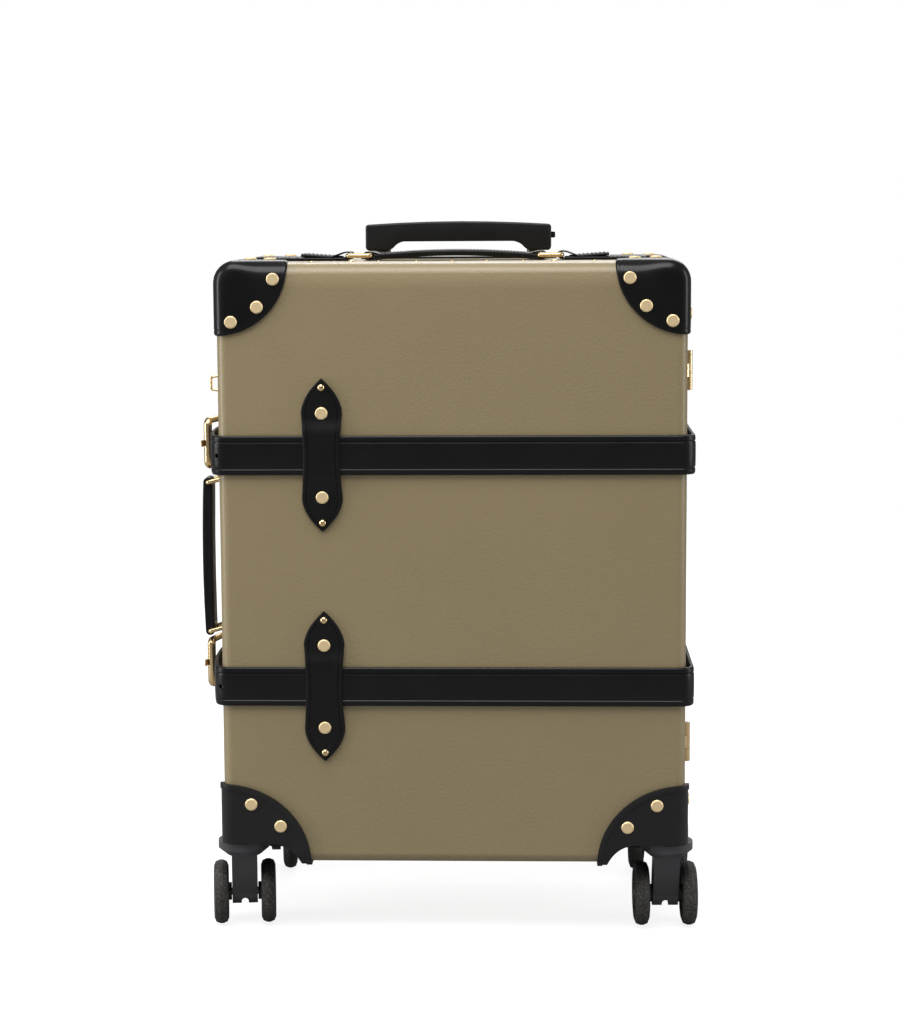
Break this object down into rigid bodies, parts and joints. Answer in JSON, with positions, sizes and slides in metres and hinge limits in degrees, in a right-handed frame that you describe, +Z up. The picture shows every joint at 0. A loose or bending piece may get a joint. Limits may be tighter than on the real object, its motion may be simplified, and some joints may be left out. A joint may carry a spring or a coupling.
{
  "type": "carry-on suitcase",
  "caption": "Trunk-style carry-on case of olive fibre board with leather corners, buckled straps, telescopic trolley, carry handles and twin-wheel swivel casters.",
  "frame": {"origin": "on the floor under the middle of the case body", "axes": "+Z up, -Y out of the front face of the lid, +X to the right seen from the front"},
  "size_m": [0.3981, 0.2297, 0.5504],
  "materials": {
    "fibre": "lacquered fibre board, olive, satin",
    "rim": "black stained ply",
    "lining": "woven cotton, sand",
    "leather": "smooth black, satin",
    "strap": "smooth black, creased edges",
    "brass": "polished, pale gold",
    "housing": "moulded black",
    "fork": "moulded black, semi-gloss",
    "steel": "bright",
    "wheel": "matt, charcoal",
    "tube": "anodised taupe",
    "grip": "moulded black, satin",
    "dial": "moulded black"
  },
  "bodies": {
    "base": {"base_shell": "fibre", "base_rim": "rim", "base_lining": "lining", "back_board": "rim", "base_corners": "leather", "rear_wheel_housings": "housing", "base_rivets": "brass", "base_strap_loops": "leather", "base_straps": "strap", "trolley_outer_tubes": "tube", "trolley_bezel": "grip", "trolley_foot": "housing", "base_hinge_leaves": "brass", "hinge_pins": "brass", "lock_case": "brass", "lock_axle": "steel", "top_handle_tabs": "leather", "side_handle_tabs": "leather", "tag_loop_plate": "brass"},
    "lid": {"lid_shell": "fibre", "lid_rim": "rim", "lid_lining": "lining", "lid_corners": "leather", "front_wheel_housings": "housing", "lid_rivets": "brass", "lid_strap_loops": "leather", "lid_straps": "strap", "lid_hinge_leaves": "brass", "lock_hasp": "brass"},
    "trolley_middle": {"trolley_middle_tubes": "tube"},
    "trolley_inner": {"trolley_inner_tubes": "tube", "trolley_grip": "grip"},
    "release_button": {"release_button": "grip"},
    "top_handle": {"top_handle": "leather"},
    "top_ring_left": {"top_ring_left": "brass"},
    "top_ring_right": {"top_ring_right": "brass"},
    "side_ring_upper": {"side_ring_upper": "brass"},
    "side_ring_lower": {"side_ring_lower": "brass"},
    "side_handle": {"side_handle": "leather"},
    "tag_loop": {"tag_loop": "brass"},
    "upper_buckle_frame": {"upper_buckle_frame": "brass"},
    "upper_buckle_prong": {"upper_buckle_prong": "brass"},
    "lower_buckle_frame": {"lower_buckle_frame": "brass"},
    "lower_buckle_prong": {"lower_buckle_prong": "brass"},
    "lock_dial_1": {"lock_dial_1": "dial"},
    "lock_dial_2": {"lock_dial_2": "dial"},
    "lock_dial_3": {"lock_dial_3": "dial"},
    "lock_slider": {"lock_slider": "brass"},
    "caster_front_left": {"caster_fork_front_left": "fork"},
    "wheels_front_left": {"axle_front_left": "steel", "wheels_front_left": "wheel"},
    "caster_front_right": {"caster_fork_front_right": "fork"},
    "wheels_front_right": {"axle_front_right": "steel", "wheels_front_right": "wheel"},
    "caster_rear_left": {"caster_fork_rear_left": "fork"},
    "wheels_rear_left": {"axle_rear_left": "steel", "wheels_rear_left": "wheel"},
    "caster_rear_right": {"caster_fork_rear_right": "fork"},
    "wheels_rear_right": {"axle_rear_right": "steel", "wheels_rear_right": "wheel"}
  },
  "joints": [
    {"name": "lid_hinge", "type": "hinge", "parent": "base", "child": "lid", "pos_m": [0.183, -0.025, 0.286], "axis": [0, 0, 1], "range_deg": [0, 110]},
    {"name": "trolley_lower_slide", "type": "slide", "parent": "base", "child": "trolley_middle", "axis": [0, 0, 1], "range_m": [0, 0.225]},
    {"name": "trolley_upper_slide", "type": "slide", "parent": "trolley_middle", "child": "trolley_inner", "axis": [0, 0, 1], "range_m": [0, 0.225]},
    {"name": "release_button_push", "type": "slide", "parent": "trolley_inner", "child": "release_button", "axis": [-1, 0, 0], "range_m": [0, 0.003], "stiffness_N_per_m": 400},
    {"name": "top_handle_lift", "type": "slide", "parent": "base", "child": "top_handle", "axis": [0, 0, 1], "range_m": [0, 0.009]},
    {"name": "top_ring_left_tilt", "type": "hinge", "parent": "base", "child": "top_ring_left", "pos_m": [-0.084, 0, 0.524], "axis": [0, -1, 0], "range_deg": [0, 30]},
    {"name": "top_ring_right_tilt", "type": "hinge", "parent": "base", "child": "top_ring_right", "pos_m": [0.084, 0, 0.524], "axis": [0, 1, 0], "range_deg": [0, 30]},
    {"name": "side_ring_upper_tilt", "type": "hinge", "parent": "base", "child": "side_ring_upper", "pos_m": [-0.182, 0.005, 0.34855], "axis": [0, 1, 0], "range_deg": [0, 15]},
    {"name": "side_handle_pivot", "type": "hinge", "parent": "side_ring_upper", "child": "side_handle", "pos_m": [-0.19939, 0.005, 0.34389], "axis": [0, 1, 0], "range_deg": [-15, 0]},
    {"name": "side_ring_lower_tilt", "type": "hinge", "parent": "base", "child": "side_ring_lower", "pos_m": [-0.182, 0.005, 0.22811], "axis": [0, 1, 0], "range_deg": [0, 15]},
    {"name": "tag_loop_swing", "type": "hinge", "parent": "base", "child": "tag_loop", "pos_m": [-0.1817, 0, 0.423], "axis": [0, 0, 1], "range_deg": [-80, 80]},
    {"name": "upper_buckle_swing", "type": "hinge", "parent": "base", "child": "upper_buckle_frame", "pos_m": [-0.19, 0.038, 0.375], "axis": [0, 0, -1], "range_deg": [0, 95]},
    {"name": "upper_prong_swing", "type": "hinge", "parent": "upper_buckle_frame", "child": "upper_buckle_prong", "pos_m": [-0.19, 0.038, 0.375], "axis": [0, 0, -1], "range_deg": [0, 70]},
    {"name": "lower_buckle_swing", "type": "hinge", "parent": "base", "child": "lower_buckle_frame", "pos_m": [-0.19, 0.038, 0.197], "axis": [0, 0, -1], "range_deg": [0, 95]},
    {"name": "lower_prong_swing", "type": "hinge", "parent": "lower_buckle_frame", "child": "lower_buckle_prong", "pos_m": [-0.19, 0.038, 0.197], "axis": [0, 0, -1], "range_deg": [0, 70]},
    {"name": "lock_dial_1_spin", "type": "hinge", "parent": "base", "child": "lock_dial_1", "pos_m": [-0.1826, -0.0111, 0.156], "axis": [0, 0, 1], "continuous": true},
    {"name": "lock_dial_2_spin", "type": "hinge", "parent": "base", "child": "lock_dial_2", "pos_m": [-0.1826, -0.0111, 0.15], "axis": [0, 0, 1], "continuous": true},
    {"name": "lock_dial_3_spin", "type": "hinge", "parent": "base", "child": "lock_dial_3", "pos_m": [-0.1826, -0.0111, 0.144], "axis": [0, 0, 1], "continuous": true},
    {"name": "lock_slider_slide", "type": "slide", "parent": "base", "child": "lock_slider", "axis": [0, 0, 1], "range_m": [0, 0.003]},
    {"name": "caster_front_left_swivel", "type": "hinge", "parent": "lid", "child": "caster_front_left", "pos_m": [-0.165, -0.08, 0.072], "axis": [0, 0, 1], "continuous": true},
    {"name": "wheels_front_left_spin", "type": "hinge", "parent": "caster_front_left", "child": "wheels_front_left", "pos_m": [-0.16707, -0.06313, 0.025], "axis": [0.9925, 0.1219, 0], "continuous": true},
    {"name": "caster_front_right_swivel", "type": "hinge", "parent": "lid", "child": "caster_front_right", "pos_m": [0.165, -0.08, 0.072], "axis": [0, 0, 1], "continuous": true},
    {"name": "wheels_front_right_spin", "type": "hinge", "parent": "caster_front_right", "child": "wheels_front_right", "pos_m": [0.16441, -0.06301, 0.025], "axis": [0.9994, 0.0349, 0], "continuous": true},
    {"name": "caster_rear_left_swivel", "type": "hinge", "parent": "base", "child": "caster_rear_left", "pos_m": [-0.165, 0.08, 0.072], "axis": [0, 0, 1], "continuous": true},
    {"name": "wheels_rear_left_spin", "type": "hinge", "parent": "caster_rear_left", "child": "wheels_rear_left", "pos_m": [-0.16619, 0.09696, 0.025], "axis": [0.9976, 0.0698, 0], "continuous": true},
    {"name": "caster_rear_right_swivel", "type": "hinge", "parent": "base", "child": "caster_rear_right", "pos_m": [0.165, 0.08, 0.072], "axis": [0, 0, 1], "continuous": true},
    {"name": "wheels_rear_right_spin", "type": "hinge", "parent": "caster_rear_right", "child": "wheels_rear_right", "pos_m": [0.16707, 0.09687, 0.025], "axis": [0.9925, -0.1219, 0], "continuous": true}
  ],
  "couplings": [
    {"joint": "top_ring_left_tilt", "follows": "top_handle_lift", "rad_per_m": 58.177},
    {"joint": "top_ring_right_tilt", "follows": "top_handle_lift", "rad_per_m": 58.177},
    {"joint": "side_handle_pivot", "follows": "side_ring_upper_tilt", "ratio": -1},
    {"joint": "side_ring_lower_tilt", "follows": "side_ring_upper_tilt", "ratio": 1}
  ]
}
